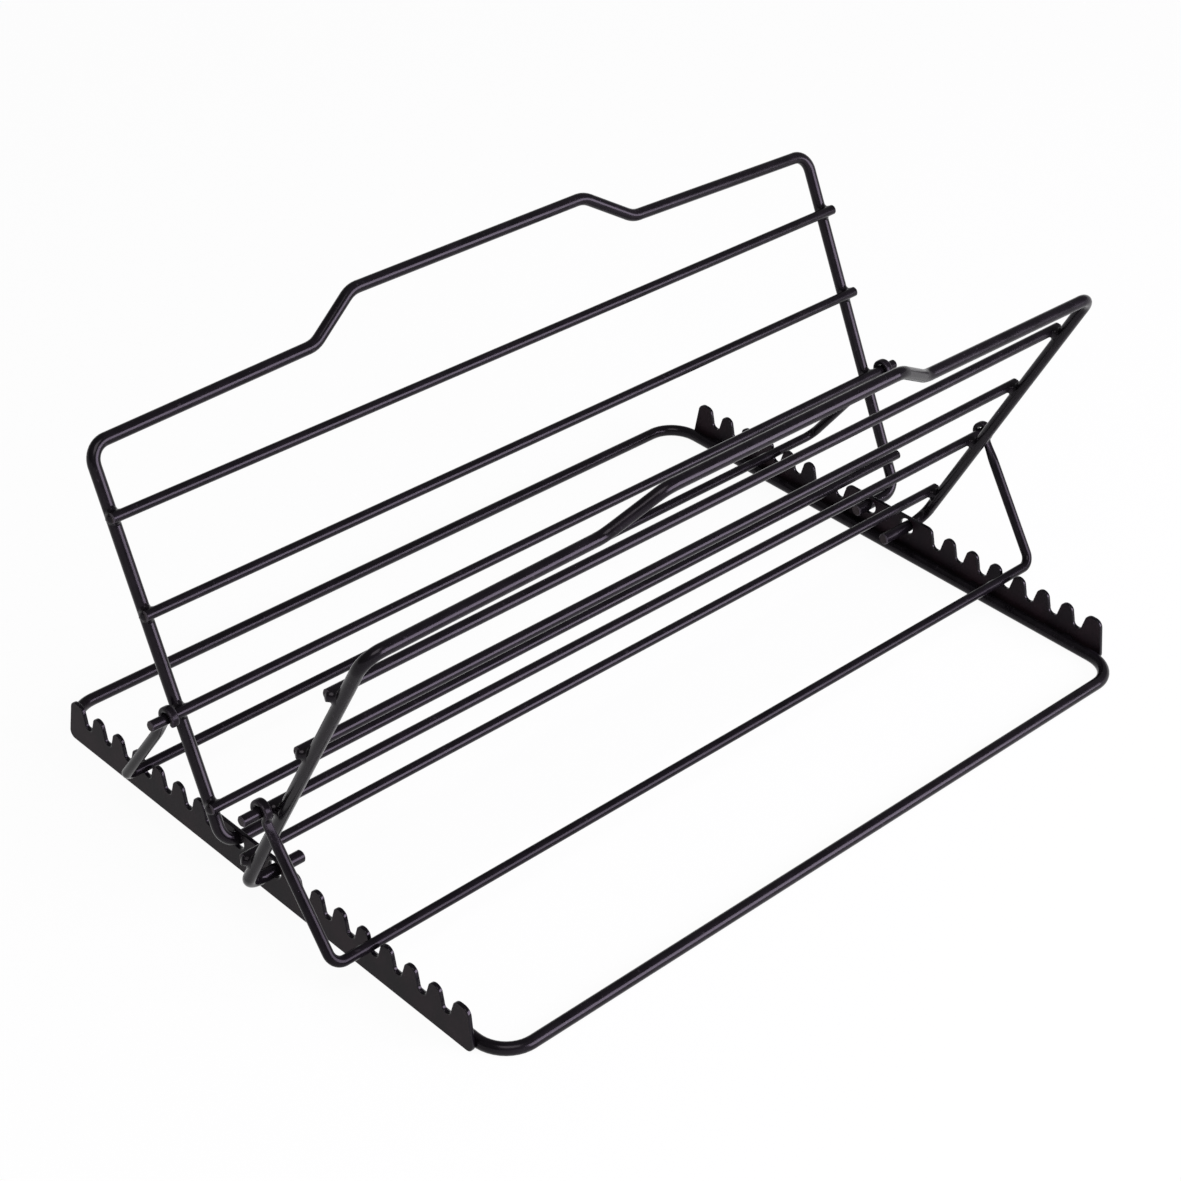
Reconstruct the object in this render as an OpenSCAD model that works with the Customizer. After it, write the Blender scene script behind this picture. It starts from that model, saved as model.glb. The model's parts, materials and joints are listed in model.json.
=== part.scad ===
// Adjustable V-shaped wire roasting rack, in mm, +Z up, resting on z = 0.
// X runs along the trough, +Y is the rear panel's side.

/* [Wire] */
// Diameter of the base and panel frame wire
frame_wire_d = 4.3; // [4:0.1:5]
// Diameter of the cross wires and the props
thin_wire_d = 3.6; // [3.4:0.1:4]
// Depth that a cross wire sinks into the legs at its welds
weld_sink = 0.2; // [0.1:0.05:0.6]
// Corner break on every cut wire end
end_break = 0.4; // [0.2:0.05:0.7]

/* [Base] */
// Base width between the centres of its side wires
base_w = 294; // [260:1:330]
// Base depth between the centres of its front and rear wires
base_d = 222.6; // [216:0.2:240]
// Bend radius of the base corners, at the wire centre
base_bend_r = 12; // [9:0.5:16]

/* [Notched strips] */
// Thickness of the strip metal
strip_t = 1.5; // [1:0.1:2]
// Height of the strip
strip_h = 15.9; // [15.5:0.1:17]
// Length of the strip along its foot
strip_len = 204.6; // [203:0.2:208]
// Lean of the strip ends
strip_end_lean = 9; // [4:0.5:12]
// Radius of the lower strip corners
strip_corner_r = 2.5; // [1:0.1:4]
// Radius of the upper strip corners
strip_top_r = 3; // [1.5:0.1:4]
// Notches on each half of a strip
notch_count = 7; // [5:1:7]
// Distance from one notch to the next
notch_pitch = 11; // [10.4:0.1:11]
// Distance from the middle of the strip to the first notch
notch_first = 24.3; // [23:0.1:25]
// Height of the notch floor
notch_floor = 8.6; // [8.4:0.05:9.4]
// Radius of the notch floor
notch_r = 2; // [1.4:0.05:2.2]
// Angle of each notch flank to the vertical
notch_flank = 15; // [12:0.5:16]

/* [Pivots] */
// Distance of each panel's hinge line from the middle
pivot_y = 9.9; // [9.5:0.1:12]
// Height of the hinge lines
pivot_z = 12.2; // [11.5:0.1:12.5]
// Diameter of the loose hole for a panel stub
pivot_hole_d = 6.2; // [5.9:0.1:6.6]
// Smallest gap between a stub and the wall of its hole
pivot_gap = 0.3; // [0.1:0.05:0.5]
// Direction from the stub to the hole centre, below the line to the middle
pivot_lean = 31; // [0:1:60]
// Length of a stub from the leg centre to its cut end
stub_len = 22.3; // [18:0.1:30]

/* [Panels] */
// Lean of each panel from the vertical
panel_tilt = 26.5; // [24:0.5:30]
// Side play between a strip and a leg when the panel is centred
leg_play = 7.2; // [6:0.1:10]
// Sideways place of the rear panel in its play
rear_shift = 4.6; // [-5:0.1:5]
// Sideways place of the front panel in its play
front_shift = -2.5; // [-5:0.1:5]
// Length of a leg from the hinge line to the top corner
leg_len = 132.9; // [128:0.1:145]
// Rise of the top wire from the corner to the hump
top_rise = 2.7; // [0:0.1:5]
// Rise of the hump above the end of the sloping top wire
hump_rise = 12.5; // [9:0.1:18]
// Width of the hump at its foot
hump_foot_w = 143; // [130:1:160]
// Width of the hump at its top
hump_top_w = 104; // [95:1:115]
// Bend radius of the top corners
corner_bend_r = 6.5; // [5:0.5:12]
// Bend radius of the hump
hump_bend_r = 10; // [7:0.5:12]
// Bend radius between a leg and its stub
stub_bend_r = 6.5; // [5:0.5:10]

/* [Cross wires] */
// Height of the top cross wire along the legs
wire_1_v = 110.5; // [106:0.1:116]
// Height of the second cross wire along the legs
wire_2_v = 78.6; // [74:0.1:84]
// Height of the third cross wire along the legs, which carries the prop
wire_3_v = 46.4; // [43:0.1:50]
// Height of the lowest cross wire along the legs
wire_4_v = 13.7; // [13:0.1:17]
// Length of a plain cross wire past the outside of a leg
wire_over = 0.55; // [0.2:0.05:0.7]
// Length of the third cross wire past its hooks
hook_wire_over = 5.2; // [4:0.1:12]

/* [Props] */
// Gap between a leg and the side of a hook when the prop is centred
hook_side_gap = 2.7; // [1:0.05:4]
// Gap between a hook and its cross wire
hook_gap = 0.3; // [0.1:0.05:0.4]
// Thickness of the flattened hook
hook_t = 1.8; // [1.6:0.1:2.6]
// Width of the flattened hook along its cross wire
hook_w = 3; // [2.6:0.1:5]
// Corner break along the edges of the flattened hook
hook_edge = 0.5; // [0.2:0.1:0.8]
// Start of the hook, short of the arm's line
hook_lead = 30; // [20:5:40]
// Sweep of a hook around its cross wire
hook_sweep = 285; // [240:5:300]
// Sideways place of the rear prop on its panel
rear_prop_slide = 0.3; // [-0.9:0.1:0.9]
// Sideways place of the front prop on its panel
front_prop_slide = 0.9; // [-0.9:0.1:0.9]
// Distance that each prop arm leans in between its hook and the foot
arm_splay = 2; // [0:0.1:4]
// Bend radius between a prop arm and its foot
prop_bend_r = 4.5; // [3:0.5:12]
// Gap between the prop foot and each notch flank
foot_gap = 0.9; // [0.3:0.05:0.95]
// Notch that holds the foot, counted from the middle
seat_notch = 4; // [4:1:5]

/* [Hidden] */
$fn = 48;
// Gap left at a welded seam
weld_gap = 0.03;
// Reach of a cutter past the face that it leaves by
past = 1;
// Swell of a bend over its straight wire, and the length of wire that runs into the bend
bend_swell = 0.02;
lap = 0.1;
frame_r = frame_wire_d / 2;
thin_r = thin_wire_d / 2;
coating = [0.16, 0.15, 0.17];
plate_coating = [0.19, 0.18, 0.18];
// Place of the base middle, which keeps the whole rack centred on x = 0
centre_x = -(rear_shift + front_shift) / 2;
// Share of a round's radius at which a straight flank runs into it
flank_share = 0.97;
// Drop of the tooth crowns below the plain top edge
crown_drop = 0.02;
// Strip placing and the tooth shape
strip_in_x = base_w / 2 + frame_r + weld_gap;
strip_out_x = strip_in_x + strip_t;
notch_z = notch_floor + notch_r;
flank_off = flank_share * notch_r;
crown_top = strip_h - crown_drop;
crown_half = notch_pitch / 2 - flank_off / cos(notch_flank) - (crown_top - notch_z) * tan(notch_flank);
crown_r = crown_half * cos(notch_flank) / (flank_share - sin(notch_flank));
crown_z = crown_top - crown_r;
bar_top = crown_z + crown_r * sin(notch_flank);
strip_half = strip_len / 2;
first_crown_y = notch_first - notch_pitch / 2;
// Notches that the plain top edge has room for, before the strip end
notches = min(notch_count, floor((end_y(strip_h - strip_top_r, strip_top_r) - first_crown_y) / notch_pitch));
last_crown_y = first_crown_y + notches * notch_pitch;
pivot_off = pivot_hole_d / 2 - frame_r - pivot_gap;
// Panel placing
leg_x = strip_out_x + leg_play + frame_r;
hump_foot_v = leg_len + top_rise;
hump_top_v = hump_foot_v + hump_rise;
wire_n = frame_r + thin_r - weld_sink;
wire_half = leg_x + frame_r + wire_over;
// Prop placing, worked out on the rear side
arm_x = leg_x + frame_r + hook_side_gap + hook_w / 2;
foot_half = arm_x - arm_splay;
hook_wire_half = arm_x + hook_w / 2 + hook_wire_over;
hook_in_r = thin_r + hook_gap;
hook_y = pivot_y + wire_3_v * sin(panel_tilt) - wire_n * cos(panel_tilt);
hook_z = pivot_z + wire_3_v * cos(panel_tilt) + wire_n * sin(panel_tilt);
foot_y = notch_first + (seat_notch - 1) * notch_pitch;
foot_z = notch_z + (thin_r + foot_gap - flank_off) / sin(notch_flank);
arm_len = norm([foot_y - hook_y, hook_z - foot_z]);
arm_lean = atan2(foot_y - hook_y, hook_z - foot_z);

// Unit vector from one point to another
function way(a, b) = (b - a) / norm(b - a);

// Signed turn of a path at its middle point
function turn(a, b, c) =
    let (u = way(a, b), w = way(b, c))
    atan2(u[0] * w[1] - u[1] * w[0], u * w);

// Length that a bend takes from each side of its corner
function trim(a, b, c, r) = r * tan(abs(turn(a, b, c)) / 2);

// Straight rod between two points of the XY plane
module rod(a, b, d) {
    translate([a[0], a[1], 0])
        rotate([0, 90, atan2(b[1] - a[1], b[0] - a[0])])
            cylinder(d = d, h = norm(b - a));
}

// Broken cut end that points from a to b and finishes at b
module rod_end(a, b, d) {
    start = b - way(a, b) * end_break;
    translate([start[0], start[1], 0])
        rotate([0, 90, atan2(b[1] - a[1], b[0] - a[0])])
            cylinder(d1 = d, d2 = d - 2 * end_break, h = end_break);
}

// Bend around the corner b of a path
module bend(a, b, c, r, d) {
    t = turn(a, b, c);
    side = sign(t);
    u = way(a, b);
    start = b - u * trim(a, b, c, r);
    centre = start + side * r * [-u[1], u[0]];
    from = atan2(start[1] - centre[1], start[0] - centre[0]);
    translate([centre[0], centre[1], 0])
        rotate([0, 0, min(from, from + t)])
            rotate_extrude(angle = abs(t))
                translate([r, 0])
                    circle(d = d + 2 * bend_swell);
}

// Wire bent along a path of the XY plane, with both ends cut and broken
module bent_wire(path, radii, d) {
    last = len(path) - 1;
    for (i = [0 : last - 1]) {
        u = way(path[i], path[i + 1]);
        cut_a = i == 0 ? end_break : trim(path[i - 1], path[i], path[i + 1], radii[i - 1]) - lap;
        cut_b = i == last - 1 ? end_break : trim(path[i], path[i + 1], path[i + 2], radii[i]) - lap;
        rod(path[i] + u * cut_a, path[i + 1] - u * cut_b, d);
    }
    for (i = [1 : last - 1])
        bend(path[i - 1], path[i], path[i + 1], radii[i - 1], d);
    rod_end(path[1], path[0], d);
    rod_end(path[last - 1], path[last], d);
}

// Straight wire along X with both ends cut and broken
module cut_wire(half, d) {
    rod([end_break - half, 0], [half - end_break, 0], d);
    for (s = [-1, 1])
        rod_end([0, 0], [s * half, 0], d);
}

// Closed rectangular wire frame on the table
module base_frame() {
    half_x = base_w / 2;
    half_y = base_d / 2;
    in_x = half_x - base_bend_r + lap;
    in_y = half_y - base_bend_r + lap;
    color(coating)
        translate([centre_x, 0, frame_r + bend_swell])
            for (s = [-1, 1]) {
                rod([-in_x, s * half_y], [in_x, s * half_y], frame_wire_d);
                rod([s * half_x, -in_y], [s * half_x, in_y], frame_wire_d);
                for (e = [-1, 1])
                    bend([0, s * half_y], [e * half_x, s * half_y], [e * half_x, 0],
                         base_bend_r, frame_wire_d);
            }
}

// Points of an arc, from one angle to another
function arc(centre, r, from, to, steps) =
    [for (i = [0 : steps])
        let (a = from + (to - from) * i / steps)
        centre + r * [cos(a), sin(a)]];

// Place of an end corner's centre, at height z and radius r from the leaning end
function end_y(z, r) = strip_half - (r + z * sin(strip_end_lean)) / cos(strip_end_lean);

// Half outline of a strip from its foot around one end to the plain top edge, Y across and Z up
function half_outline() =
    let (low = strip_corner_r, high = strip_h - strip_top_r)
    concat(arc([end_y(low, low), low], low, -90, strip_end_lean, 6),
           arc([end_y(high, strip_top_r), high], strip_top_r, strip_end_lean, 90, 6),
           [[last_crown_y, strip_h], [last_crown_y, bar_top]],
           [[first_crown_y, bar_top], [first_crown_y, strip_h]]);

// Outline of a strip before its notches are cut
module strip_outline() {
    half = half_outline();
    last = len(half) - 1;
    polygon(concat(half, [for (i = [last : -1 : 0]) [-half[i][0], half[i][1]]]));
    for (s = [-1, 1], i = [0 : notches])
        translate([s * (first_crown_y + i * notch_pitch), crown_z])
            circle(r = crown_r);
}

// Notch with a round floor and straight flanks, floor centre at the origin
module notch() {
    low_z = -notch_r / 5;
    low_w = flank_off / cos(notch_flank) + low_z * tan(notch_flank);
    high_z = strip_h + past - notch_z;
    high_w = low_w + (high_z - low_z) * tan(notch_flank);
    circle(r = notch_r);
    polygon([[-low_w, low_z], [low_w, low_z], [high_w, high_z], [-high_w, high_z]]);
}

// Strip with its notches and the two loose stub holes, standing on z = 0 with its inner face at x = 0
module strip() {
    rotate([90, 0, 90])
        linear_extrude(height = strip_t)
            difference() {
                strip_outline();
                for (s = [-1, 1]) {
                    for (i = [0 : notches - 1])
                        translate([s * (notch_first + i * notch_pitch), notch_z])
                            notch();
                    translate([s * (pivot_y - pivot_off * cos(pivot_lean)),
                               pivot_z - pivot_off * sin(pivot_lean)])
                        circle(d = pivot_hole_d);
                }
            }
}

module left_strip() {
    color(plate_coating)
        translate([centre_x - strip_out_x, 0, 0])
            strip();
}

module right_strip() {
    color(plate_coating)
        translate([centre_x + strip_in_x, 0, 0])
            strip();
}

// Places a panel drawn flat, with X along the hinge line and Y up the legs, on the rear side
module on_rear(shift) {
    translate([centre_x + shift, pivot_y, pivot_z])
        rotate([90 - panel_tilt, 0, 0])
            children();
}

// Places a panel drawn flat on the front side
module on_front() {
    mirror([0, 1, 0])
        on_rear(front_shift)
            children();
}

// Panel frame wire, from one stub up around the hump to the other stub
module panel_frame() {
    stub_x = leg_x - stub_len;
    foot_x = hump_foot_w / 2;
    top_x = hump_top_w / 2;
    path = [[-stub_x, 0], [-leg_x, 0], [-leg_x, leg_len], [-foot_x, hump_foot_v], [-top_x, hump_top_v],
            [top_x, hump_top_v], [foot_x, hump_foot_v], [leg_x, leg_len], [leg_x, 0], [stub_x, 0]];
    radii = [stub_bend_r, corner_bend_r, hump_bend_r, hump_bend_r,
             hump_bend_r, hump_bend_r, corner_bend_r, stub_bend_r];
    bent_wire(path, radii, frame_wire_d);
}

// Cross wire at height v up the legs, seated into both legs
module cross_wire(v, half) {
    difference() {
        translate([0, v, wire_n])
            cut_wire(half, thin_wire_d);
        for (s = [-1, 1])
            rod([s * leg_x, v - thin_wire_d], [s * leg_x, v + thin_wire_d], frame_wire_d + 2 * weld_gap);
    }
}

// Prop with its hook axis along X at the origin and its arms down along -Y
module prop() {
    path = [[-arm_x, 0], [-foot_half, -arm_len], [foot_half, -arm_len], [arm_x, 0]];
    cut = trim(path[1], path[2], path[3], prop_bend_r) - lap;
    up = way(path[2], path[3]);
    low = path[2] + up * cut;
    high = path[3] - up * (hook_in_r + lap);
    rod(path[1] + [cut, 0], path[2] - [cut, 0], thin_wire_d);
    bend(path[0], path[1], path[2], prop_bend_r, thin_wire_d);
    bend(path[1], path[2], path[3], prop_bend_r, thin_wire_d);
    for (s = [-1, 1]) {
        rod([s * low[0], low[1]], [s * high[0], high[1]], thin_wire_d);
        translate([s * arm_x, 0, 0])
            hook();
    }
}

// Flattened hook around the X axis, from the arm over the outer side to the inner side
module hook() {
    half = hook_w / 2;
    edge = half - hook_edge;
    rotate([0, 90, 0])
        rotate([0, 0, -90 - hook_lead])
            rotate_extrude(angle = hook_sweep)
                translate([hook_in_r, 0])
                    polygon([[0, -edge], [hook_edge, -half], [hook_t - hook_edge, -half], [hook_t, -edge],
                             [hook_t, edge], [hook_t - hook_edge, half], [hook_edge, half], [0, edge]]);
}

// Stands a prop on the rear side, hooked on its cross wire with its foot in the notch
module rear_stance(shift) {
    translate([centre_x + shift, hook_y, hook_z])
        rotate([90 + arm_lean, 0, 0])
            prop();
}

module rear_frame() {
    color(coating)
        on_rear(rear_shift)
            panel_frame();
}

module rear_wire_1() {
    color(coating)
        on_rear(rear_shift)
            cross_wire(wire_1_v, wire_half);
}

module rear_wire_2() {
    color(coating)
        on_rear(rear_shift)
            cross_wire(wire_2_v, wire_half);
}

module rear_wire_3() {
    color(coating)
        on_rear(rear_shift)
            cross_wire(wire_3_v, hook_wire_half);
}

module rear_wire_4() {
    color(coating)
        on_rear(rear_shift)
            cross_wire(wire_4_v, wire_half);
}

module rear_prop() {
    color(coating)
        rear_stance(rear_shift + rear_prop_slide);
}

module front_frame() {
    color(coating)
        on_front()
            panel_frame();
}

module front_wire_1() {
    color(coating)
        on_front()
            cross_wire(wire_1_v, wire_half);
}

module front_wire_2() {
    color(coating)
        on_front()
            cross_wire(wire_2_v, wire_half);
}

module front_wire_3() {
    color(coating)
        on_front()
            cross_wire(wire_3_v, hook_wire_half);
}

module front_wire_4() {
    color(coating)
        on_front()
            cross_wire(wire_4_v, wire_half);
}

module front_prop() {
    color(coating)
        mirror([0, 1, 0])
            rear_stance(front_shift + front_prop_slide);
}

base_frame();
left_strip();
right_strip();
rear_frame();
rear_wire_1();
rear_wire_2();
rear_wire_3();
rear_wire_4();
rear_prop();
front_frame();
front_wire_1();
front_wire_2();
front_wire_3();
front_wire_4();
front_prop();
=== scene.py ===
"""Looks of an adjustable V-shaped wire roasting rack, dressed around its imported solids.

Lengths in the fields of the rack's pieces are in millimetres. The studio's lengths and every length
that passes between functions are in metres, as Blender's are.
"""

from __future__ import annotations

import json
import logging
import math
from collections.abc import Callable, Mapping
from dataclasses import dataclass, field
from enum import Enum

import bmesh
import bpy
from mathutils import Matrix, Vector

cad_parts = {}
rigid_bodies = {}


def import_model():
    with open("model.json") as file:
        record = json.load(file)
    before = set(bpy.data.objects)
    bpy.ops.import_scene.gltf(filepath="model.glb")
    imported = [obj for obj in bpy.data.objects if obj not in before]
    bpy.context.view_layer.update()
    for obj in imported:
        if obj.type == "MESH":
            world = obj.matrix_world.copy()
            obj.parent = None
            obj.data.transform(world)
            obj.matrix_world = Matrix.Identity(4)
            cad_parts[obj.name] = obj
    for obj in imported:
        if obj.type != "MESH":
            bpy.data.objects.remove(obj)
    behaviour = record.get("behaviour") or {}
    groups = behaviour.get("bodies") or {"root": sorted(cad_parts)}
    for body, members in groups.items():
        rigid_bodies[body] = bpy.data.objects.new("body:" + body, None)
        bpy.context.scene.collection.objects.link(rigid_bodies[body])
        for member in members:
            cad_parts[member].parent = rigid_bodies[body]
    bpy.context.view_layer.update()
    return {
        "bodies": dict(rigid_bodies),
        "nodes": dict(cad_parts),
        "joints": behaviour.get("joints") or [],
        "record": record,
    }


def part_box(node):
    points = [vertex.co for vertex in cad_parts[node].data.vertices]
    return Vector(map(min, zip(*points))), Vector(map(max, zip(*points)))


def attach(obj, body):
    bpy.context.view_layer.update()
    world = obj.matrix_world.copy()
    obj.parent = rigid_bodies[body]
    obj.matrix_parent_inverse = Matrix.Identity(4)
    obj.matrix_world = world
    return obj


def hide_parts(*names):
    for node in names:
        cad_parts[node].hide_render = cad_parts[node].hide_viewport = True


LOG = logging.getLogger("roasting_rack")
MM = 0.001
EDGE_WEAR = "edge_wear"
SAME_PLACE = 1e-6
X_AXIS = Vector((1, 0, 0)).freeze()
SMOOTH_STEP = {"interpolation_type": "SMOOTHSTEP"}
OF_COLOURS = {"data_type": "RGBA"}

Colour = tuple[float, float, float, float]
Field = Callable[[Vector], float]
Skin = dict[str, bpy.types.Node]


class Side(Enum):
    """The two mirror halves of the rack."""

    REAR = "rear"
    FRONT = "front"

    @property
    def outward(self) -> float:
        """Sign of the Y direction in which this half's panel leans."""
        return 1.0 if self is Side.REAR else -1.0


class End(Enum):
    """The two ends of the trough."""

    LEFT = "left"
    RIGHT = "right"

    @property
    def sign(self) -> float:
        """Sign of the X direction of this end."""
        return -1.0 if self is End.LEFT else 1.0


class Slot(Enum):
    """Material slots of the record."""

    WIRE = "wire_coating"
    STRIP = "strip_coating"


class Marks(Enum):
    """What a coating shows beside its plain skin."""

    NONE = "none"
    WIRE_ENDS = "wire ends"
    STUB_ENDS = "stub ends"
    PLATE = "plate"
    WORN = "worn"


def linear(hex_colour: str) -> Colour:
    """Turn an sRGB hex colour to linear light.

    Args:
        hex_colour: Colour such as "#1c191d".

    Returns:
        Linear red, green, blue and an alpha of 1.
    """
    shares = [int(hex_colour[i : i + 2], 16) / 255 for i in (1, 3, 5)]
    red, green, blue = (s / 12.92 if s <= 0.04045 else ((s + 0.055) / 1.055) ** 2.4 for s in shares)
    return red, green, blue, 1.0


def per_metre(size_mm: float) -> float:
    """Texture scale at which one feature of a pattern is size_mm wide."""
    return 1.0 / (size_mm * MM)


def add_node(
    tree: bpy.types.NodeTree,
    kind: str,
    settings: Mapping[str, object] | None = None,
    links: Mapping[int | str, object] | None = None,
) -> bpy.types.Node:
    """Add a shader node, set its properties and fill its inputs.

    Args:
        tree: Node tree that gets the node.
        kind: Blender's name of the node type.
        settings: Node properties by name.
        links: By the input's name or index, a value, an output socket to link, or a node whose
            first usable output is linked.

    Returns:
        The new node.
    """
    node = tree.nodes.new(kind)
    for name, value in (settings or {}).items():
        setattr(node, name, value)
    for key, source in (links or {}).items():
        given = source
        if isinstance(source, bpy.types.Node):
            given = next(socket for socket in source.outputs if socket.enabled)
        if isinstance(given, bpy.types.NodeSocket):
            tree.links.new(given, node.inputs[key])
        else:
            node.inputs[key].default_value = given
    return node


@dataclass(frozen=True)
class Unevenness:
    """A patchy pattern in a coating, with patches of a real size."""

    size_mm: float
    octaves: float
    span: tuple[float, float]
    falloff: float = 0.55

    def share(self, tree: bpy.types.NodeTree, spot: bpy.types.NodeSocket,
              to: tuple[float, float] = (0.0, 1.0)) -> bpy.types.Node:
        """Add the pattern, eased over its span of noise values.

        Args:
            tree: Node tree that gets the nodes.
            spot: Socket of the place on the surface.
            to: Result at the two ends of the span.

        Returns:
            Node of the result.
        """
        noise = add_node(tree, "ShaderNodeTexNoise", None, {
            "Vector": spot, "Scale": per_metre(self.size_mm), "Detail": self.octaves,
            "Roughness": self.falloff})
        return add_node(tree, "ShaderNodeMapRange", SMOOTH_STEP, {
            0: noise, 1: self.span[0], 2: self.span[1], 3: to[0], 4: to[1]})


@dataclass(frozen=True)
class Coating:
    """Black non-stick coating, sprayed on degreased steel and baked.

    It gives the eye a deep black with a violet cast, a soft satin sheen along each wire, faint
    cloudy changes of gloss, and the fine orange peel of a sprayed film. Real dust is finer than
    the specks here, which are drawn as coarse as they need to show.
    """

    name: str
    marks: Marks = Marks.NONE
    body: str = "#0e0c0f"
    cloud: str = "#151216"
    bare: str = "#2e2927"
    rim: str = "#3f3b40"
    plate: str = "#23191e"
    dust: str = "#4a454b"
    tint: str = "#fcf2ff"
    gloss: tuple[float, float] = (0.17, 0.23)
    bare_roughness: float = 0.5
    refraction: float = 1.36
    shine: float = 0.26
    clouds: Unevenness = Unevenness(7.0, 4.0, (0.35, 0.7))
    sheen: Unevenness = Unevenness(7.0, 4.0, (0.3, 0.7))
    specks: Unevenness = Unevenness(1.3, 0.0, (0.76, 0.82))
    speck_share: float = 0.15
    rubbing: Unevenness = Unevenness(0.35, 2.0, (0.3, 0.65))
    speckle: Unevenness = Unevenness(0.35, 3.0, (0.35, 0.68))
    plate_clouds: Unevenness = Unevenness(14.0, 3.0, (0.3, 0.7))
    peel_mm: float = 0.55
    peel_octaves: float = 2.0
    peel_falloff: float = 0.55
    peel_depth_mm: float = 0.0015
    peel_strength: float = 0.12
    rim_facing: tuple[float, float] = (0.35, 0.55)
    flat_facing: tuple[float, float] = (0.85, 0.97)
    stub_reach_mm: float = 152.0
    stub_top_mm: float = 17.0
    stub_fade_mm: float = 1.0

    def material(self) -> bpy.types.Material:
        """Make the material with its nodes.

        Returns:
            The finished material.
        """
        made = bpy.data.materials.new(self.name)
        made.use_nodes = True
        tree = made.node_tree
        tree.nodes.clear()
        place = add_node(tree, "ShaderNodeTexCoord")
        spot = place.outputs["Object"]
        clouded = add_node(tree, "ShaderNodeMix", OF_COLOURS, {
            0: self.clouds.share(tree, spot), 6: linear(self.body), 7: linear(self.cloud)})
        dusty = add_node(tree, "ShaderNodeMix", OF_COLOURS, {
            0: self.specks.share(tree, spot, (0.0, self.speck_share)), 6: clouded, 7: linear(self.dust)})
        skin = {"Base Color": dusty, "Roughness": self.sheen.share(tree, spot, self.gloss)}
        self._mark(tree, place, skin)
        peel = add_node(tree, "ShaderNodeTexNoise", None, {
            "Vector": spot, "Scale": per_metre(self.peel_mm), "Detail": self.peel_octaves,
            "Roughness": self.peel_falloff})
        bump = add_node(tree, "ShaderNodeBump", None, {
            "Strength": self.peel_strength, "Distance": self.peel_depth_mm * MM, "Height": peel})
        shader = add_node(tree, "ShaderNodeBsdfPrincipled", None, {
            **skin, "Normal": bump, "IOR": self.refraction, "Specular IOR Level": self.shine,
            "Specular Tint": linear(self.tint)})
        add_node(tree, "ShaderNodeOutputMaterial", None, {"Surface": shader})
        return made

    def _mark(self, tree: bpy.types.NodeTree, place: bpy.types.Node, skin: Skin) -> None:
        """Add what marks this coating to its skin.

        Args:
            tree: Node tree that gets the nodes.
            place: Texture coordinates of the surface.
            skin: Nodes of the plain skin, which are replaced.
        """
        if self.marks in (Marks.WIRE_ENDS, Marks.STUB_ENDS):
            self._cut_ends(tree, place, skin)
        elif self.marks is Marks.PLATE:
            self._dull_plate(tree, place, skin)
        elif self.marks is Marks.WORN:
            self._rub_edges(tree, place, skin)

    def _rub_edges(self, tree: bpy.types.NodeTree, place: bpy.types.Node, skin: Skin) -> None:
        """Rub the coating thin along pressed edges.

        Args:
            tree: Node tree that gets the nodes.
            place: Texture coordinates of the surface.
            skin: Nodes of the plain skin, which are replaced.
        """
        worn = add_node(tree, "ShaderNodeAttribute", {"attribute_name": EDGE_WEAR})
        share = add_node(tree, "ShaderNodeMath", {"operation": "MULTIPLY"}, {
            0: worn.outputs["Fac"], 1: self.rubbing.share(tree, place.outputs["Object"])})
        skin["Base Color"] = add_node(tree, "ShaderNodeMix", OF_COLOURS, {
            0: share, 6: skin["Base Color"], 7: linear(self.rim)})

    def _cut_ends(self, tree: bpy.types.NodeTree, place: bpy.types.Node, skin: Skin) -> None:
        """Thin and speckle the coating on cut ends, with a pale broken rim.

        Args:
            tree: Node tree that gets the nodes.
            place: Texture coordinates of the surface.
            skin: Nodes of the plain skin, which are replaced.
        """
        spot = place.outputs["Object"]
        facing = add_node(tree, "ShaderNodeSeparateXYZ", None, {0: place.outputs["Normal"]})
        ends = add_node(tree, "ShaderNodeMath", {"operation": "ABSOLUTE"}, {0: facing.outputs["X"]})
        if self.marks is Marks.STUB_ENDS:
            ends = self._only_stubs(tree, spot, ends)
        rim, flat = (
            add_node(tree, "ShaderNodeMapRange", SMOOTH_STEP, {0: ends, 1: low, 2: high})
            for low, high in (self.rim_facing, self.flat_facing)
        )
        speckled = add_node(tree, "ShaderNodeMix", OF_COLOURS, {
            0: self.speckle.share(tree, spot), 6: linear(self.plate), 7: linear(self.bare)})
        rimmed = add_node(tree, "ShaderNodeMix", OF_COLOURS, {
            0: rim, 6: skin["Base Color"], 7: linear(self.rim)})
        skin["Base Color"] = add_node(tree, "ShaderNodeMix", OF_COLOURS, {0: flat, 6: rimmed, 7: speckled})
        skin["Roughness"] = add_node(tree, "ShaderNodeMix", None, {
            0: rim, 2: skin["Roughness"], 3: self.bare_roughness})

    def _only_stubs(self, tree: bpy.types.NodeTree, spot: bpy.types.NodeSocket,
                    ends: bpy.types.Node) -> bpy.types.Node:
        """Keep the cut-end marks to the stubs, which lie low and near the middle.

        Args:
            tree: Node tree that gets the nodes.
            spot: Socket of the place on the surface.
            ends: Node of the share in which a face is a cut end.

        Returns:
            Node of the share on the stubs alone.
        """
        parts = add_node(tree, "ShaderNodeSeparateXYZ", None, {0: spot})
        reach = add_node(tree, "ShaderNodeMath", {"operation": "ABSOLUTE"}, {0: parts.outputs["X"]})
        for value, limit_mm in ((reach, self.stub_reach_mm), (parts.outputs["Z"], self.stub_top_mm)):
            within = add_node(tree, "ShaderNodeMapRange", SMOOTH_STEP, {
                0: value, 1: (limit_mm - self.stub_fade_mm) * MM, 2: limit_mm * MM, 3: 1.0, 4: 0.0})
            ends = add_node(tree, "ShaderNodeMath", {"operation": "MULTIPLY"}, {0: ends, 1: within})
        return ends

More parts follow.
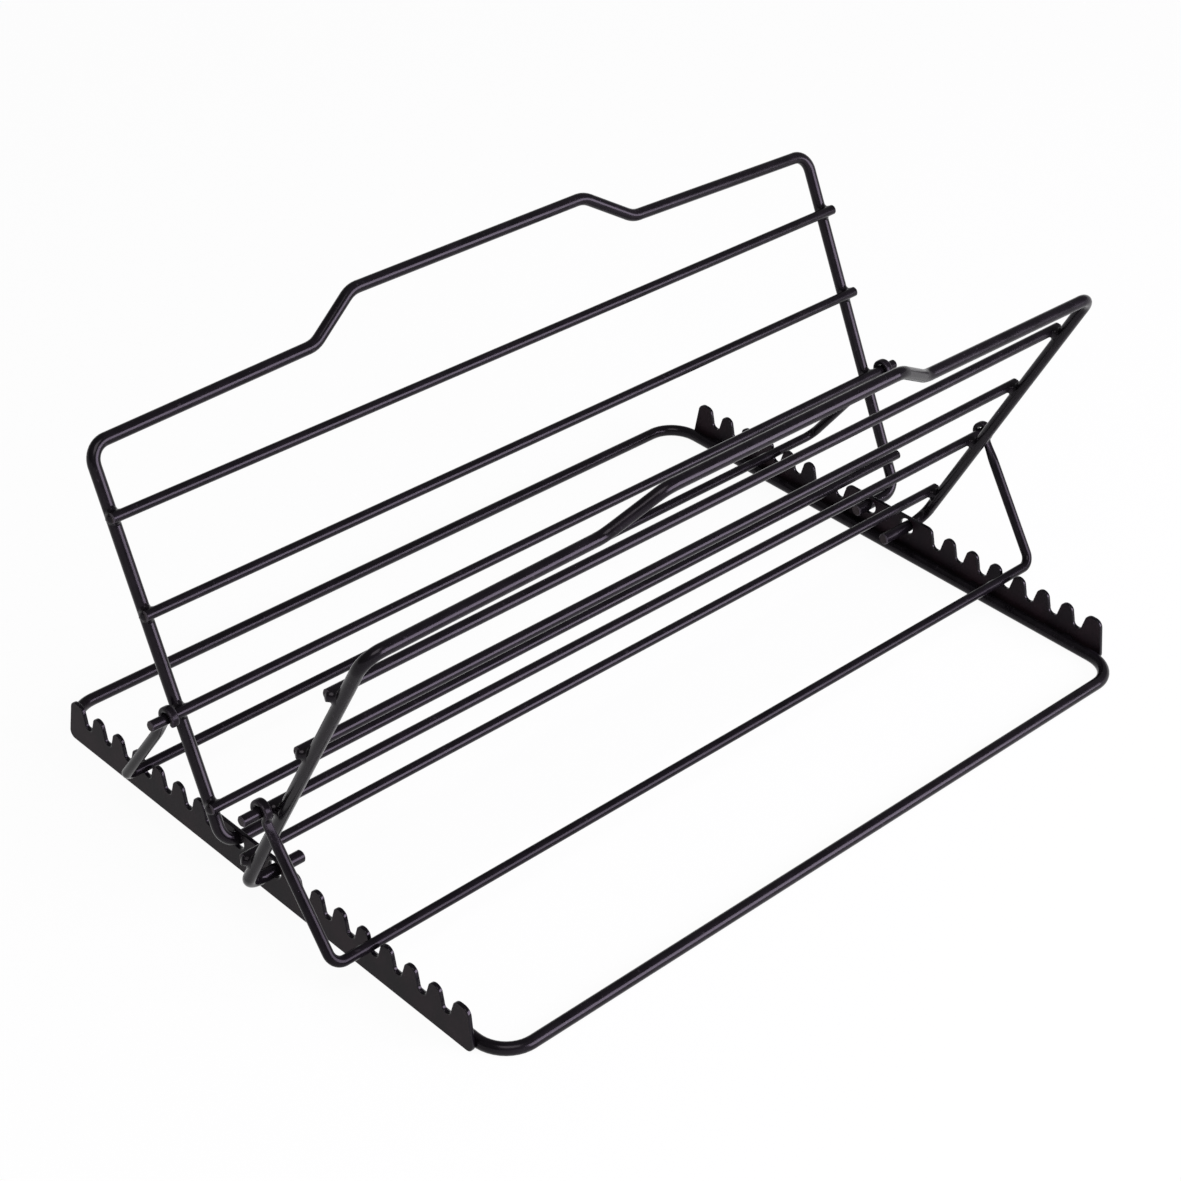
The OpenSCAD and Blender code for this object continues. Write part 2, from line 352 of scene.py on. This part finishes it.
    def _dull_plate(self, tree: bpy.types.NodeTree, place: bpy.types.Node, skin: Skin) -> None:
        """Turn the plate faces browner in soft clouds.

        Args:
            tree: Node tree that gets the nodes.
            place: Texture coordinates of the surface.
            skin: Nodes of the plain skin, which are replaced.
        """
        skin["Base Color"] = add_node(tree, "ShaderNodeMix", OF_COLOURS, {
            0: self.plate_clouds.share(tree, place.outputs["Object"]),
            6: linear(self.plate), 7: skin["Base Color"]})


@dataclass(frozen=True)
class Paper:
    """Matt white background paper.

    It gives the eye an even white that takes the rack's soft shadow.
    """

    name: str = "matt_white_paper"
    colour: str = "#fafafa"
    white_share: float = 0.95

    def material(self) -> bpy.types.Material:
        """Make the material, which is nearly full white wherever the eye sees it.

        Returns:
            The finished material.
        """
        made = bpy.data.materials.new(self.name)
        made.use_nodes = True
        tree = made.node_tree
        tree.nodes.clear()
        path = add_node(tree, "ShaderNodeLightPath")
        seen = path.outputs["Is Camera Ray"]
        for way in ("Is Glossy Ray", "Is Transmission Ray"):
            seen = add_node(tree, "ShaderNodeMath", {"operation": "MAXIMUM"}, {
                0: seen, 1: path.outputs[way]})
        share = add_node(tree, "ShaderNodeMath", {"operation": "MULTIPLY"}, {0: seen, 1: self.white_share})
        paper = add_node(tree, "ShaderNodeBsdfDiffuse", None, {"Color": linear(self.colour)})
        white = add_node(tree, "ShaderNodeEmission", None, {"Strength": 1.0})
        both = add_node(tree, "ShaderNodeMixShader", None, {0: share, 1: paper, 2: white})
        add_node(tree, "ShaderNodeOutputMaterial", None, {"Surface": both})
        return made


def finish_piece(mesh: bmesh.types.BMesh, name: str, body: str,
                 material: bpy.types.Material) -> bpy.types.Object:
    """Turn a bmesh into a smooth piece that rides on a body.

    Args:
        mesh: Closed shape in metres, which is freed.
        name: Name of the piece.
        body: Body that carries it.
        material: Its material.

    Returns:
        The new object.
    """
    for face in mesh.faces:
        face.smooth = True
    data = bpy.data.meshes.new(name)
    mesh.to_mesh(data)
    mesh.free()
    data.materials.append(material)
    piece = bpy.data.objects.new(name, data)
    bpy.context.scene.collection.objects.link(piece)
    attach(piece, body)
    LOG.info("piece %s: %d faces on %s", name, len(data.polygons), body)
    return piece


class WireBender:
    """Forms a wire the way a bending bench does: feed, bend and press, one after another."""

    ROUND = 2.0
    CORNER_SHARPNESS = 4
    CUT_STEPS = (0.5, 1.0)

    def __init__(self, start: Vector, heading: Vector, up: Vector, radius: float, sides: int) -> None:
        """Hold a round wire end.

        Args:
            start: Place of the wire end, in metres.
            heading: Direction in which the wire is fed.
            up: Direction of the section's thin side.
            radius: Wire radius in metres.
            sides: Faces around the wire.
        """
        self.mesh = bmesh.new()
        self.at = start.copy()
        self.heading = heading.normalized()
        self.up = up.normalized()
        self.half = (radius, radius)
        self.power = self.ROUND
        self.wear = self.mesh.verts.layers.float.new(EDGE_WEAR)
        ring = bmesh.ops.create_circle(self.mesh, segments=sides, radius=radius)["verts"]
        self.angles = [2 * math.pi * i / sides for i in range(sides)]
        self.ring = list(ring)
        self._shape(0.0)

    @property
    def side(self) -> Vector:
        """Direction of the section's wide side."""
        return self.heading.cross(self.up)

    def _shape(self, wear: float) -> None:
        """Set the current ring to the current section.

        Args:
            wear: Wear on the section's corners.
        """
        wide, thin = self.half
        for vert, angle in zip(self.ring, self.angles):
            c, s = math.cos(angle), math.sin(angle)
            x = math.copysign(abs(c) ** (2 / self.power), c) * wide
            y = math.copysign(abs(s) ** (2 / self.power), s) * thin
            vert.co = self.at + self.side * x + self.up * y
            vert[self.wear] = wear * abs(2 * c * s) ** self.CORNER_SHARPNESS

    def _extrude(self) -> None:
        """Grow the wire by one ring, which becomes the current ring."""
        edges = [e for v in self.ring for e in v.link_edges if e.other_vert(v) in self.ring]
        grown = bmesh.ops.extrude_edge_only(self.mesh, edges=list(dict.fromkeys(edges)))["geom"]
        fresh = {v for v in grown if isinstance(v, bmesh.types.BMVert)}
        self.ring = [
            next(e.other_vert(v) for e in v.link_edges if e.other_vert(v) in fresh) for v in self.ring
        ]

    def feed(self, length: float, steps: int = 1, wear: float = 0.0) -> None:
        """Feed straight wire.

        Args:
            length: Length in metres.
            steps: Rings along it.
            wear: Wear on the section's corners.
        """
        for _ in range(steps):
            self.at = self.at + self.heading * (length / steps)
            self._extrude()
            self._shape(wear)

    def bend(self, angle: float, radius: float, axis: Vector, steps: int, wear: float = 0.0) -> None:
        """Bend the wire around a pin.

        Args:
            angle: Turn in radians, by the right hand about the axis.
            radius: Radius of the wire's middle line, in metres.
            axis: Direction of the pin.
            steps: Rings along the bend.
            wear: Wear on the section's corners.
        """
        centre = self.at + axis.cross(self.heading) * math.copysign(radius, angle)
        for _ in range(steps):
            turn = Matrix.Rotation(angle / steps, 3, axis)
            self.at = centre + turn @ (self.at - centre)
            self.heading = turn @ self.heading
            self.up = turn @ self.up
            self._extrude()
            self._shape(wear)

    def press(self, length: float, half: tuple[float, float], power: float, steps: int,
              wear: tuple[float, float] = (0.0, 0.0)) -> None:
        """Feed wire while its section eases to another one.

        Args:
            length: Length in metres.
            half: Half width and half thickness to reach, in metres.
            power: Squareness to reach, where 2 is an ellipse.
            steps: Rings along it.
            wear: Wear on the section's corners at the start and the end.
        """
        first, first_power = self.half, self.power
        for i in range(1, steps + 1):
            t = i / steps
            ease = t * t * (3 - 2 * t)
            self.half = tuple(a + (b - a) * ease for a, b in zip(first, half))
            self.power = first_power + (power - first_power) * ease
            self.feed(length / steps, wear=wear[0] + (wear[1] - wear[0]) * ease)

    def cut(self, edge: float, wear: float = 0.0) -> None:
        """Close the wire with a slightly rounded cut end.

        Args:
            edge: Rounding of the cut in metres.
            wear: Wear on the rounded rim.
        """
        half = self.half
        for share in self.CUT_STEPS:
            turn = share * math.pi / 2
            self.half = tuple(h - edge * (1 - math.cos(turn)) for h in half)
            self.at = self.at + self.heading * (edge * math.sin(turn))
            self._extrude()
            self._shape(wear)
        bmesh.ops.contextual_create(self.mesh, geom=self.ring)


@dataclass
class Prop:
    """A wire prop with a flattened hook at the top of each arm."""

    side: Side
    wire_d: float = 3.6
    bend_r: float = 4.5
    hook_gap: float = 0.3
    hook_t: float = 1.8
    hook_w: float = 3.0
    hook_sweep: float = 255.0
    arm_splay: float = 2.0
    swerve_r: float = 2.0
    squareness: float = 3.6
    press_len: float = 9.0
    cut_edge: float = 0.45
    hook_wear: float = 0.8
    cut_wear: float = 0.6
    sides: int = 28
    foot_rings: int = 12
    corner_rings: int = 14
    arm_rings: int = 4
    press_rings: int = 10
    straighten_rings: int = 2
    swerve_rings: int = 8
    eye_rings: int = 28

    @property
    def node(self) -> str:
        """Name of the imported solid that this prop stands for."""
        return f"{self.side.value}_prop"

    def build(self, frame: dict, material: bpy.types.Material) -> None:
        """Form the prop along the solid's line.

        Args:
            frame: The loaded frame.
            material: Its coating.
        """
        low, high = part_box(self.node)
        joint = next(j for j in frame["joints"] if j["child"] == self.node)
        radius = self.wire_d / 2 * MM
        middle = (low.x + high.x) / 2
        hook = Vector((middle, joint["pos_m"][1], joint["pos_m"][2]))
        outer = high.y if self.side is Side.REAR else low.y
        foot = Vector((middle, outer - self.side.outward * radius, low.z + radius))
        lean = math.atan2(self.arm_splay * MM, (hook - foot).length)
        eye_inside = radius + self.hook_gap * MM
        arm_x = high.x - middle - radius * math.cos(lean) + eye_inside * math.sin(lean)
        self._form(hook, foot, arm_x, lean, material)

    def _form(self, hook: Vector, foot: Vector, arm_x: float, lean: float,
              material: bpy.types.Material) -> None:
        """Bend the wire from its middle towards each hook and join the halves.

        Args:
            hook: Hook axis at the middle of the prop.
            foot: Middle of the foot.
            arm_x: Distance from the middle to a hook.
            lean: Angle at which the arms lean in towards the foot.
            material: Its coating.
        """
        rise = (hook - foot).normalized()
        outward = self._outward(rise)
        bender = WireBender(foot, X_AXIS, outward, self.wire_d / 2 * MM, self.sides)
        bend_r = self.bend_r * MM
        eye_r = (self.wire_d / 2 + self.hook_gap + self.hook_t / 2) * MM
        flat = (self.hook_w / 2 * MM, self.hook_t / 2 * MM)
        turn = 1.0 if X_AXIS.cross(rise).dot(outward) > 0 else -1.0
        corner = bend_r * math.tan((math.pi / 2 - lean) / 2)
        bender.feed(arm_x - self.arm_splay * MM - corner, self.foot_rings)
        bender.bend(turn * (math.pi / 2 - lean), bend_r, outward, self.corner_rings)
        press = self.press_len * MM
        eye_start = math.sqrt(eye_r * (eye_r + 2 * self.swerve_r * MM))
        arm = (hook - foot).length / math.cos(lean)
        bender.feed(arm - corner - press - eye_start, self.arm_rings)
        bender.press(press, flat, self.squareness, self.press_rings, (0.0, self.hook_wear))
        bender.bend(turn * lean, bend_r, outward, self.straighten_rings, self.hook_wear)
        self._curl(bender, outward, eye_r)
        bender.cut(self.cut_edge * MM, self.cut_wear)
        mesh = bender.mesh
        bmesh.ops.mirror(mesh, geom=mesh.verts[:] + mesh.edges[:] + mesh.faces[:],
                         matrix=Matrix.Translation(-foot), merge_dist=SAME_PLACE, axis="X")
        bmesh.ops.remove_doubles(mesh, verts=mesh.verts[:], dist=SAME_PLACE)
        bmesh.ops.recalc_face_normals(mesh, faces=mesh.faces[:])
        piece = finish_piece(mesh, f"{self.side.value}_prop_wire", self.node, material)
        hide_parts(self.node)

    def _outward(self, rise: Vector) -> Vector:
        """Normal of the prop's plane on its outer, upper side."""
        normal = X_AXIS.cross(rise).normalized()
        return normal if normal.y * self.side.outward > 0 else -normal

    def _curl(self, bender: WireBender, outward: Vector, eye_r: float) -> None:
        """Roll the flattened end out of the arm's line, then round the cross wire.

        Args:
            bender: Bench that holds the wire at the foot of the curl.
            outward: Outer side of the prop's plane.
            eye_r: Radius of the curl's middle line.
        """
        out_turn = 1.0 if X_AXIS.cross(bender.heading).dot(outward) > 0 else -1.0
        swerve_r = self.swerve_r * MM
        swerve = math.acos(swerve_r / (swerve_r + eye_r))
        eye_turn = swerve + math.radians(self.hook_sweep - 90)
        bender.bend(out_turn * swerve, swerve_r, X_AXIS, self.swerve_rings, self.hook_wear)
        bender.bend(-out_turn * eye_turn, eye_r, X_AXIS, self.eye_rings, self.hook_wear)


@dataclass
class NotchedStrip:
    """A punched strip whose edges are softened by the coating."""

    end: End
    soft_edge: float = 0.28
    soft_steps: int = 3
    rim_angle: float = 50.0
    sharp_angle: float = 40.0
    flat_angle: float = 0.5
    flat_share: float = 0.999
    shortest_edge: float = 0.05

    @property
    def node(self) -> str:
        """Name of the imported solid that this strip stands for."""
        return f"{self.end.value}_strip"

    def build(self, frame: dict, face_coating: bpy.types.Material,
              edge_coating: bpy.types.Material) -> None:
        """Copy the solid's shape and round its rims.

        Args:
            frame: The loaded frame.
            face_coating: Coating of the plate faces.
            edge_coating: Coating of the punched edges.
        """
        mesh = bmesh.new()
        mesh.from_mesh(frame["nodes"][self.node].data)
        bmesh.ops.remove_doubles(mesh, verts=mesh.verts[:], dist=self.shortest_edge * MM)
        bmesh.ops.dissolve_limit(mesh, angle_limit=math.radians(self.flat_angle), verts=mesh.verts[:],
                                 edges=mesh.edges[:])
        rims = [e for e in mesh.edges if len(e.link_faces) == 2
                and e.calc_face_angle(0.0) > math.radians(self.rim_angle)]
        bmesh.ops.bevel(mesh, geom=rims, offset=self.soft_edge * MM, offset_type="OFFSET",
                        segments=self.soft_steps, profile=0.5, affect="EDGES", clamp_overlap=False,
                        material=-1)
        bmesh.ops.triangulate(mesh, faces=[f for f in mesh.faces if len(f.verts) > 4])
        piece = finish_piece(mesh, f"{self.end.value}_notched_strip", "base", face_coating)
        piece.data.materials.append(edge_coating)
        piece.data.set_sharp_from_angle(angle=math.radians(self.sharp_angle))
        for face in piece.data.polygons:
            face.use_smooth = abs(face.normal.x) < self.flat_share
            face.material_index = int(face.use_smooth)
        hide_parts(self.node)


def smooth_union(first: Field, second: Field, fillet: float) -> Field:
    """Field of two shapes whose corner is filled by a fillet.

    Args:
        first: Signed distance to the first shape.
        second: Signed distance to the second shape.
        fillet: Reach of the fillet.

    Returns:
        Signed distance to the joined shape.
    """

    def joined(point: Vector) -> float:
        """Signed distance from a point to the joined shape.

        Args:
            point: The point.

        Returns:
            The distance, negative inside.
        """
        a, b = first(point), second(point)
        overlap = max(fillet - abs(a - b), 0.0) / fillet
        return min(a, b) - overlap * overlap * fillet / 4

    return joined


def rod_field(on_axis: Vector, along: Vector, radius: float) -> Field:
    """Signed distance to a round rod.

    Args:
        on_axis: A point of the rod's axis.
        along: Unit direction of the axis.
        radius: Rod radius.

    Returns:
        The distance function.
    """

    def distance(point: Vector) -> float:
        """Signed distance from a point to the rod."""
        offset = point - on_axis
        return (offset - along * offset.dot(along)).length - radius

    return distance


@dataclass
class WeldBead:
    """Fused metal at a resistance weld, a small saddle between two pieces."""

    fillet: float = 2.4
    reach: float = 3.6
    sink: float = 0.02
    wobble: float = 0.12
    waves: tuple[float, float, float] = (5.0, 4.0, 2.0)
    halvings: int = 24
    rings: int = 14
    sides: int = 24

    def grow(self, mesh: bmesh.types.BMesh, centre: Vector, shape: Field, seed: float) -> None:
        """Add one bead by pushing a ball out to the filleted surface.

        Args:
            mesh: Mesh that gets the bead.
            centre: Middle of the weld, inside both pieces' joint.
            shape: Signed distance to the filleted pair.
            seed: Phase of the bead's unevenness.
        """
        made = bmesh.ops.create_uvsphere(mesh, u_segments=self.sides, v_segments=self.rings, radius=1.0)
        for vert in made["verts"]:
            way = vert.co.normalized()
            vert.co = centre + way * self._reach(centre, way, shape, seed)

    def _reach(self, centre: Vector, way: Vector, shape: Field, seed: float) -> float:
        """Distance from the centre to the fillet's surface along one way.

        Args:
            centre: Middle of the weld.
            way: Unit direction.
            shape: Signed distance to the filleted pair.
            seed: Phase of the bead's unevenness.

        Returns:
            The distance in metres, at most the bead's reach.
        """
        x, y, z = (waves * part for waves, part in zip(self.waves, way))
        uneven = self.wobble * math.sin(x + seed) * math.sin(y - z + 2 * seed)
        level = (-self.sink + self.sink * uneven) * MM
        low, high = 0.0, self.reach * MM
        if shape(centre + way * high) < level:
            return high
        for _ in range(self.halvings):
            half = (low + high) / 2
            if shape(centre + way * half) < level:
                low = half
            else:
                high = half
        return low


@dataclass
class Panel:
    """A leaning panel: its frame wire, four cross wires and their welds."""

    side: Side
    frame_d: float = 4.3
    wire_d: float = 3.6
    wires: int = 4
    weld: WeldBead = field(default_factory=WeldBead)
    seed_by_wire: float = 1.7
    seed_by_end: float = 3.1

    @property
    def body(self) -> str:
        """Body that carries the panel."""
        return f"{self.side.value}_panel"

    @property
    def frame_node(self) -> str:
        """Name of the frame wire's solid."""
        return f"{self.side.value}_frame"

    def wire_node(self, number: int) -> str:
        """Name of a cross wire's solid, counted from the top."""
        return f"{self.side.value}_wire_{number}"

    def leg_line(self, frame: dict) -> tuple[Vector, Vector]:
        """Line of the legs in the YZ plane.

        Args:
            frame: The loaded frame.

        Returns:
            A point of the hinge line at x = 0 and the unit direction up a leg.
        """
        joint = next(j for j in frame["joints"] if j["child"] == self.body)
        hinge = Vector((0, joint["pos_m"][1], joint["pos_m"][2]))
        low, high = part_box(self.frame_node)
        radius = self.frame_d / 2 * MM
        lean = self._lean(hinge, low, high, radius)
        return hinge, Vector((0, self.side.outward * math.sin(lean), math.cos(lean)))

    def _lean(self, hinge: Vector, low: Vector, high: Vector, radius: float) -> float:
        """Lean of the panel from the vertical, from its hinge to its far top edge.

        Args:
            hinge: Point of the hinge line.
            low: Lowest corner of the frame wire's box.
            high: Highest corner of the frame wire's box.
            radius: Frame wire radius.

        Returns:
            The angle in radians.
        """
        out = max(abs(low.y), abs(high.y)) - radius - abs(hinge.y)
        return math.atan2(out, high.z - radius - hinge.z)

    def dress(self, frame: dict, frame_coating: bpy.types.Material,
              wire_coating: bpy.types.Material) -> None:
        """Give the wires their coatings.

        Args:
            frame: The loaded frame.
            frame_coating: Coating of the frame wire.
            wire_coating: Coating of the cross wires.
        """
        coat(frame["nodes"][self.frame_node], frame_coating)
        for number in range(1, self.wires + 1):
            coat(frame["nodes"][self.wire_node(number)], wire_coating)

    def build(self, frame: dict, material: bpy.types.Material) -> None:
        """Add the weld beads where the cross wires meet the legs.

        Args:
            frame: The loaded frame.
            material: Coating over the welds.
        """
        hinge, up = self.leg_line(frame)
        low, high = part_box(self.frame_node)
        radius = self.frame_d / 2 * MM
        legs = (low.x + radius, high.x - radius)
        mesh = bmesh.new()
        for number in range(1, self.wires + 1):
            wire_low, wire_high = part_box(self.wire_node(number))
            middle = (wire_low + wire_high) / 2
            for end, leg_x in enumerate(legs):
                seed = self.seed_by_wire * number + self.seed_by_end * end
                self._weld(mesh, Vector((leg_x, middle.y, middle.z)), hinge, up, seed)
        bmesh.ops.recalc_face_normals(mesh, faces=mesh.faces[:])
        finish_piece(mesh, f"{self.side.value}_welds", self.body, material)

    def _weld(self, mesh: bmesh.types.BMesh, crossing: Vector, hinge: Vector, up: Vector,
              seed: float) -> None:
        """Add the bead of one crossing.

        Args:
            mesh: Mesh that gets the bead.
            crossing: Point of the cross wire's axis over the leg.
            hinge: Point of the hinge line.
            up: Unit direction up the leg.
            seed: Phase of the bead's unevenness.
        """
        leg_point = Vector((crossing.x, hinge.y, hinge.z))
        on_leg = leg_point + up * (crossing - leg_point).dot(up)
        leg = rod_field(on_leg, up, self.frame_d / 2 * MM)
        wire = rod_field(crossing, X_AXIS, self.wire_d / 2 * MM)
        share = self.frame_d / (self.frame_d + self.wire_d)
        centre = on_leg.lerp(crossing, share)
        self.weld.grow(mesh, centre, smooth_union(leg, wire, self.weld.fillet * MM), seed)


def coat(node: bpy.types.Object, material: bpy.types.Material) -> None:
    """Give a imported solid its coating.

    Args:
        node: The solid's object.
        material: The coating.
    """
    node.data.materials.clear()
    node.data.materials.append(material)
    LOG.info("solid %s: %s", node.name, material.name)


@dataclass
class Base:
    """The base loop with its two notched strips and their welds."""

    wire_d: float = 4.3
    welds_per_strip: int = 5
    weld_margin: float = 14.0
    weld: WeldBead = field(default_factory=lambda: WeldBead(fillet=2.6, reach=3.2))
    seed_step: float = 2.3

    def build(self, frame: dict, face_coating: bpy.types.Material, edge_coating: bpy.types.Material,
              weld_coating: bpy.types.Material) -> None:
        """Make the strips and the welds that hold them on the base wire.

        Args:
            frame: The loaded frame.
            face_coating: Coating of the strips' plate faces.
            edge_coating: Coating of the strips' punched edges.
            weld_coating: Coating over the welds.
        """
        mesh = bmesh.new()
        for end in End:
            strip = NotchedStrip(end)
            self._strip_welds(mesh, strip)
            strip.build(frame, face_coating, edge_coating)
        bmesh.ops.recalc_face_normals(mesh, faces=mesh.faces[:])
        finish_piece(mesh, "strip_welds", "base", weld_coating)

    def dress(self, frame: dict, material: bpy.types.Material) -> None:
        """Give the base loop its coating.

        Args:
            frame: The loaded frame.
            material: The coating.
        """
        coat(frame["nodes"]["base_frame"], material)

    def _strip_welds(self, mesh: bmesh.types.BMesh, strip: NotchedStrip) -> None:
        """Add the weld spots between one strip and the base wire.

        Args:
            mesh: Mesh that gets the beads.
            strip: The strip.
        """
        low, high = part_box(strip.node)
        base_low, base_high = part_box("base_frame")
        radius = self.wire_d / 2 * MM
        sign = strip.end.sign
        wire_x = base_high.x - radius if sign > 0 else base_low.x + radius
        face_x = low.x if sign > 0 else high.x
        height = base_low.z + radius
        wire = rod_field(Vector((wire_x, 0, height)), Vector((0, 1, 0)), radius)
        fillet = smooth_union(wire, lambda p: sign * (face_x - p.x), self.weld.fillet * MM)
        span = high.y - low.y - 2 * self.weld_margin * MM
        for i in range(self.welds_per_strip):
            y = low.y + self.weld_margin * MM + span * i / (self.welds_per_strip - 1)
            seed = self.seed_step * i + sign
            self.weld.grow(mesh, Vector((wire_x, y, height)), lambda p: max(fillet(p), -p.z), seed)


@dataclass
class Softbox:
    """A soft rectangular lamp aimed at a point, with its lengths in metres."""

    name: str
    place: tuple[float, float, float]
    aim: tuple[float, float, float]
    size: tuple[float, float]
    watts: float
    colour: str

    def light(self) -> None:
        """Put the lamp in the scene."""
        data = bpy.data.lights.new(self.name, "AREA")
        data.shape = "RECTANGLE"
        data.size, data.size_y = self.size
        data.energy = self.watts
        data.color = linear(self.colour)[:3]
        lamp = bpy.data.objects.new(self.name, data)
        lamp.location = self.place
        way = Vector(self.aim) - Vector(self.place)
        lamp.rotation_euler = way.to_track_quat("-Z", "Y").to_euler()
        bpy.context.scene.collection.objects.link(lamp)


@dataclass
class Studio:
    """White floor, soft lamps and the camera at the photograph's place.

    The floor's lengths are in metres.
    """

    floor_radius: float = 4.0
    cove_radius: float = 0.8
    cove_height: float = 1.0
    cove_steps: int = 12
    floor_sides: int = 64
    floor_merge: float = 1e-5
    ambient: float = 0.3
    eye_mm: tuple[float, float, float] = (-539.65, -530.6, 563.25)
    azimuth: float = -45.02
    elevation: float = 34.46
    roll: float = 2.43
    focal_px: float = 2707.91
    image_px: int = 1181
    sensor_mm: float = 36.0
    lamps: tuple[Softbox, ...] = (
        Softbox("key", (0.54, -1.12, 0.42), (0.0, 0.0, 0.10), (0.95, 0.75), 27.0, "#f5ebff"),
        Softbox("top", (-0.35, -0.55, 1.20), (0.0, 0.0, 0.05), (0.7, 0.7), 7.0, "#fffdfb"),
    )

    def build(self) -> None:
        """Make the whole set."""
        self._view()
        self._floor()
        self._world()
        for lamp in self.lamps:
            lamp.light()

    def _view(self) -> None:
        """Put the camera where the photograph was taken."""
        data = bpy.data.cameras.new("photo_camera")
        data.sensor_width = self.sensor_mm
        data.lens = self.sensor_mm * self.focal_px / self.image_px
        camera = bpy.data.objects.new("photo_camera", data)
        a, e = math.radians(self.azimuth), math.radians(self.elevation)
        back = Vector((math.sin(a) * math.cos(e), -math.cos(a) * math.cos(e), math.sin(e)))
        level = (-back).to_track_quat("-Z", "Y").to_matrix()
        turned = level @ Matrix.Rotation(math.radians(self.roll), 3, "Z")
        camera.matrix_world = Matrix.Translation(Vector(self.eye_mm) * MM) @ turned.to_4x4()
        bpy.context.scene.collection.objects.link(camera)
        bpy.context.scene.camera = camera

    def _floor(self) -> None:
        """Lay the floor, which curves up all round and takes the rack's soft shadow."""
        mesh = bmesh.new()
        flat = self.floor_radius - self.cove_radius
        turns = [math.pi / 2 * i / self.cove_steps for i in range(self.cove_steps + 1)]
        curve = self.cove_radius
        cove = [(flat + curve * math.sin(t), curve * (1 - math.cos(t))) for t in turns]
        outline = [(0.0, 0.0), *cove, (self.floor_radius, self.cove_height)]
        line = [mesh.verts.new((x, 0, z)) for x, z in outline]
        edges = [mesh.edges.new(pair) for pair in zip(line, line[1:])]
        bmesh.ops.spin(mesh, geom=line + edges, cent=(0, 0, 0), axis=(0, 0, 1), angle=2 * math.pi,
                       steps=self.floor_sides, use_merge=True)
        bmesh.ops.remove_doubles(mesh, verts=mesh.verts[:], dist=self.floor_merge)
        bmesh.ops.recalc_face_normals(mesh, faces=mesh.faces[:])
        data = bpy.data.meshes.new("floor")
        mesh.to_mesh(data)
        mesh.free()
        data.materials.append(Paper().material())
        floor = bpy.data.objects.new("floor", data)
        bpy.context.scene.collection.objects.link(floor)

    def _world(self) -> None:
        """Surround the set with an even, soft room light."""
        world = bpy.data.worlds.new("white_room")
        bpy.context.scene.world = world
        world.use_nodes = True
        tree = world.node_tree
        tree.nodes.clear()
        room = add_node(tree, "ShaderNodeBackground", None, {"Strength": self.ambient})
        add_node(tree, "ShaderNodeOutputWorld", None, {"Surface": room})


def main() -> None:
    """Build the set, then dress and complete the rack."""
    logging.basicConfig(level=logging.INFO, format="%(name)s: %(message)s")
    bpy.ops.wm.read_factory_settings(use_empty=True)
    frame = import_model()
    bpy.context.scene.view_settings.view_transform = "Standard"
    Studio().build()
    # The base wire's coating lies unbroken and shows an even satin black.
    plain = Coating("black_nonstick_on_base_wire").material()
    # The panel frames are cut at their stubs, where thin coating shows as speckled grey with a pale rim.
    frame_coating = Coating("black_nonstick_on_frame_wire", Marks.STUB_ENDS).material()
    # The cross wires are cut at both ends, which show in the same way.
    wire_coating = Coating("black_nonstick_on_cross_wire", Marks.WIRE_ENDS).material()
    # The props' coating is duller, and rubbed pale along the pressed edges of the hooks.
    prop_coating = Coating("black_nonstick_on_prop_wire", Marks.WORN, shine=0.16).material()
    # The strips are rolled sheet, on whose flat faces the coating dries dull and slightly brown.
    strip_coating = Coating("black_nonstick_on_punched_strip", Marks.PLATE, gloss=(0.5, 0.5),
                            shine=0.14).material()
    # Round the punched edges the coating draws thick, and shows deep black with small sharp glints.
    edge_coating = Coating("black_nonstick_on_punched_edge", body="#0a080c", cloud="#0d0b0f",
                           gloss=(0.14, 0.2), shine=0.36).material()
    # The welds are lumpy under the coating, which breaks up the sheen.
    weld_coating = Coating("black_nonstick_on_welds", peel_mm=0.8, peel_depth_mm=0.008).material()
    base = Base()
    base.dress(frame, plain)
    base.build(frame, strip_coating, edge_coating, weld_coating)
    for side in Side:
        panel = Panel(side)
        panel.dress(frame, frame_coating, wire_coating)
        panel.build(frame, weld_coating)
        Prop(side).build(frame, prop_coating)


if __name__ == "__main__":
    main()
